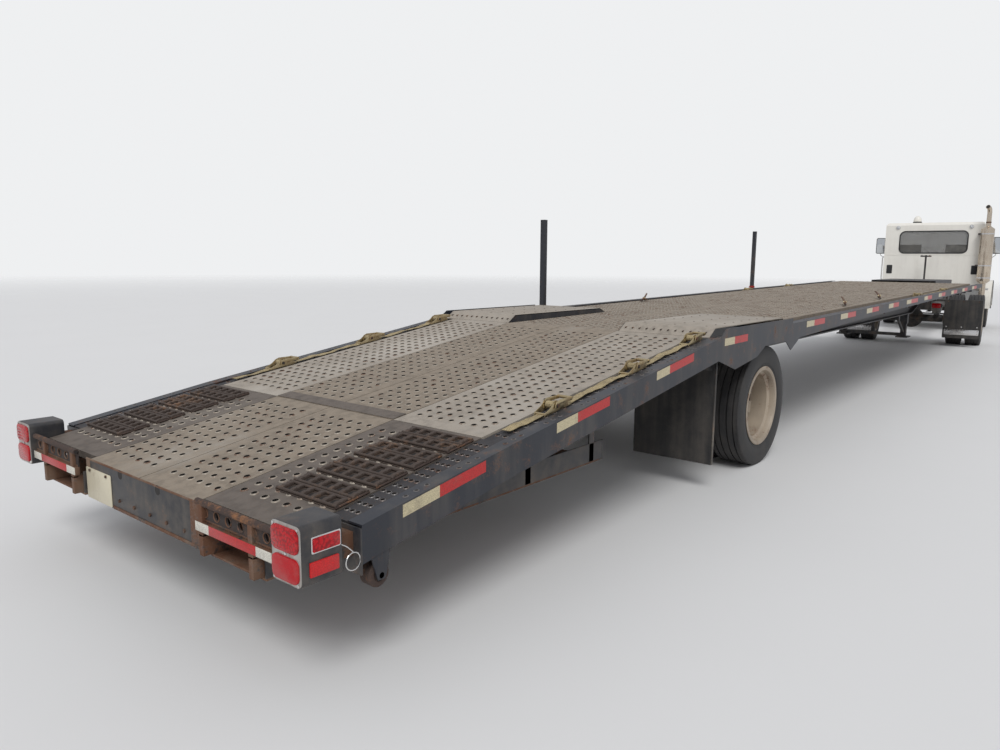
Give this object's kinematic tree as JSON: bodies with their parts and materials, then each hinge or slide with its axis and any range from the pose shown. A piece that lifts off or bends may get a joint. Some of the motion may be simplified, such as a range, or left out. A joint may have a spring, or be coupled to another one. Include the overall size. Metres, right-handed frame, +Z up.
{
  "type": "car transporter truck, a day-cab tractor with a low flat trailer",
  "caption": "Low flat car trailer with a sloping perforated tail deck, hinged at its kingpin to a day-cab tractor with tilting hood and opening doors.",
  "frame": {"origin": "on the ground under the middle of the whole vehicle's box, tractor turned 5.5 degrees to the left", "axes": "+X forward along the trailer, +Y to its left, +Z up"},
  "size_m": [21.8232, 3.0646, 2.85],
  "materials": {
    "frame_paint": "dark blue-black paint, chipped and rusty",
    "deck_steel": "worn perforated steel, tan with dried salt and mud",
    "tread_plate": "dark rusty steel",
    "tyre_rubber": "worn black rubber",
    "flap_rubber": "dusty black rubber",
    "rim_paint": "cream paint with road salt",
    "cab_paint": "white paint, road-dirty",
    "chassis_paint": "black chassis paint",
    "webbing": "tan woven webbing",
    "rusty_steel": "rusty steel",
    "pane": "tinted safety glass",
    "bright": "chromed or polished metal",
    "lamp_plastic": "lamp plastic",
    "trim_plastic": "dark interior plastic",
    "iron": "dark cast iron",
    "hose_rubber": "black hose rubber"
  },
  "bodies": {
    "trailer": {"trailer_frame": "frame_paint", "crossmembers": "frame_paint", "side_rails": "frame_paint", "tail_deck": "deck_steel", "main_deck": "deck_steel", "strap_grooves": "frame_paint", "wheel_covers": "deck_steel", "trailer_axle": "iron", "trailer_flaps": "flap_rubber", "rear_end": "frame_paint", "lamp_boxes": "lamp_plastic", "landing_gear": "frame_paint", "stakes": "frame_paint", "ratchets": "rusty_steel", "straps": "webbing"},
    "tractor": {"tractor_frame": "chassis_paint", "fifth_wheel": "iron", "drive_axle": "iron", "drive_flaps": "flap_rubber", "front_axle": "iron", "cab": "cab_paint", "cab_glass": "pane", "interior": "trim_plastic", "engine": "iron", "bumper": "bright", "tanks": "bright", "exhaust": "bright", "hose_stand": "chassis_paint", "cab_lamps": "lamp_plastic"},
    "hood": {"hood": "cab_paint", "headlamps": "pane"},
    "tie_rod": {"tie_rod": "iron"},
    "trailer_wheels_left": {"trailer_tyres_left": "tyre_rubber", "trailer_rims_left": "rim_paint"},
    "ramp_left": {"ramp_left": "frame_paint"},
    "roller_left": {"roller_left": "rusty_steel"},
    "drive_wheels_left": {"drive_tyres_left": "tyre_rubber", "drive_rims_left": "rim_paint"},
    "knuckle_left": {"knuckle_left": "iron"},
    "steer_wheel_left": {"steer_tyre_left": "tyre_rubber", "steer_rim_left": "rim_paint"},
    "door_left": {"door_left": "cab_paint", "door_glass_left": "pane"},
    "trailer_wheels_right": {"trailer_tyres_right": "tyre_rubber", "trailer_rims_right": "rim_paint"},
    "ramp_right": {"ramp_right": "frame_paint"},
    "roller_right": {"roller_right": "rusty_steel"},
    "drive_wheels_right": {"drive_tyres_right": "tyre_rubber", "drive_rims_right": "rim_paint"},
    "knuckle_right": {"knuckle_right": "iron"},
    "steer_wheel_right": {"steer_tyre_right": "tyre_rubber", "steer_rim_right": "rim_paint"},
    "door_right": {"door_right": "cab_paint", "door_glass_right": "pane"}
  },
  "joints": [
    {"name": "hitch", "type": "hinge", "parent": "trailer", "child": "tractor", "pos_m": [4.77644, -0.24015, 1.12], "axis": [0, 0, 1], "range_deg": [-95.5, 84.5]},
    {"name": "hood_tilt", "type": "hinge", "parent": "tractor", "child": "hood", "pos_m": [10.67417, 0.32774, 0.73], "axis": [-0.0958, 0.9954, 0], "range_deg": [0, 55]},
    {"name": "trailer_wheels_left_spin", "type": "hinge", "parent": "trailer", "child": "trailer_wheels_left", "pos_m": [-6.61356, 0.70985, 0.465], "axis": [0, 1, 0], "continuous": true},
    {"name": "roller_left_spin", "type": "hinge", "parent": "trailer", "child": "roller_left", "pos_m": [-10.56356, 0.99985, 0.4], "axis": [0, 1, 0], "continuous": true},
    {"name": "ramp_left_slide", "type": "slide", "parent": "trailer", "child": "ramp_left", "axis": [-1, 0, 0], "range_m": [0, 1.7]},
    {"name": "drive_wheels_left_spin", "type": "hinge", "parent": "tractor", "child": "drive_wheels_left", "pos_m": [4.63562, 0.70068, 0.485], "axis": [-0.0958, 0.9954, 0], "continuous": true},
    {"name": "steer_left", "type": "hinge", "parent": "tractor", "child": "knuckle_left", "pos_m": [9.72652, 1.04019, 0.49], "axis": [0, 0, 1], "range_deg": [-35, 35]},
    {"name": "steer_wheel_left_spin", "type": "hinge", "parent": "knuckle_left", "child": "steer_wheel_left", "pos_m": [9.70543, 1.25917, 0.49], "axis": [-0.0958, 0.9954, 0], "continuous": true},
    {"name": "door_left_swing", "type": "hinge", "parent": "tractor", "child": "door_left", "pos_m": [8.8866, 1.17631, 1.6], "axis": [0, 0, -1], "range_deg": [0, 70]},
    {"name": "trailer_wheels_right_spin", "type": "hinge", "parent": "trailer", "child": "trailer_wheels_right", "pos_m": [-6.61356, -1.19015, 0.465], "axis": [0, 1, 0], "continuous": true},
    {"name": "roller_right_spin", "type": "hinge", "parent": "trailer", "child": "roller_right", "pos_m": [-10.56356, -1.48015, 0.4], "axis": [0, 1, 0], "continuous": true},
    {"name": "ramp_right_slide", "type": "slide", "parent": "trailer", "child": "ramp_right", "axis": [-1, 0, 0], "range_m": [0, 1.7]},
    {"name": "drive_wheels_right_spin", "type": "hinge", "parent": "tractor", "child": "drive_wheels_right", "pos_m": [4.81773, -1.19057, 0.485], "axis": [-0.0958, 0.9954, 0], "continuous": true},
    {"name": "steer_right", "type": "hinge", "parent": "tractor", "child": "knuckle_right", "pos_m": [9.87987, -0.55245, 0.49], "axis": [0, 0, 1], "range_deg": [-35, 35]},
    {"name": "steer_wheel_right_spin", "type": "hinge", "parent": "knuckle_right", "child": "steer_wheel_right", "pos_m": [9.90096, -0.77143, 0.49], "axis": [-0.0958, 0.9954, 0], "continuous": true},
    {"name": "door_right_swing", "type": "hinge", "parent": "tractor", "child": "door_right", "pos_m": [9.08136, -0.84633, 1.6], "axis": [0, 0, 1], "range_deg": [0, 70]},
    {"name": "tie_rod_pivot", "type": "hinge", "parent": "knuckle_left", "child": "tie_rod", "pos_m": [9.52744, 1.02102, 0.34], "axis": [0, 0, 1], "range_deg": [-35, 35]}
  ],
  "couplings": [
    {"joint": "steer_right", "follows": "steer_left", "ratio": 1},
    {"joint": "tie_rod_pivot", "follows": "steer_left", "ratio": -1}
  ]
}
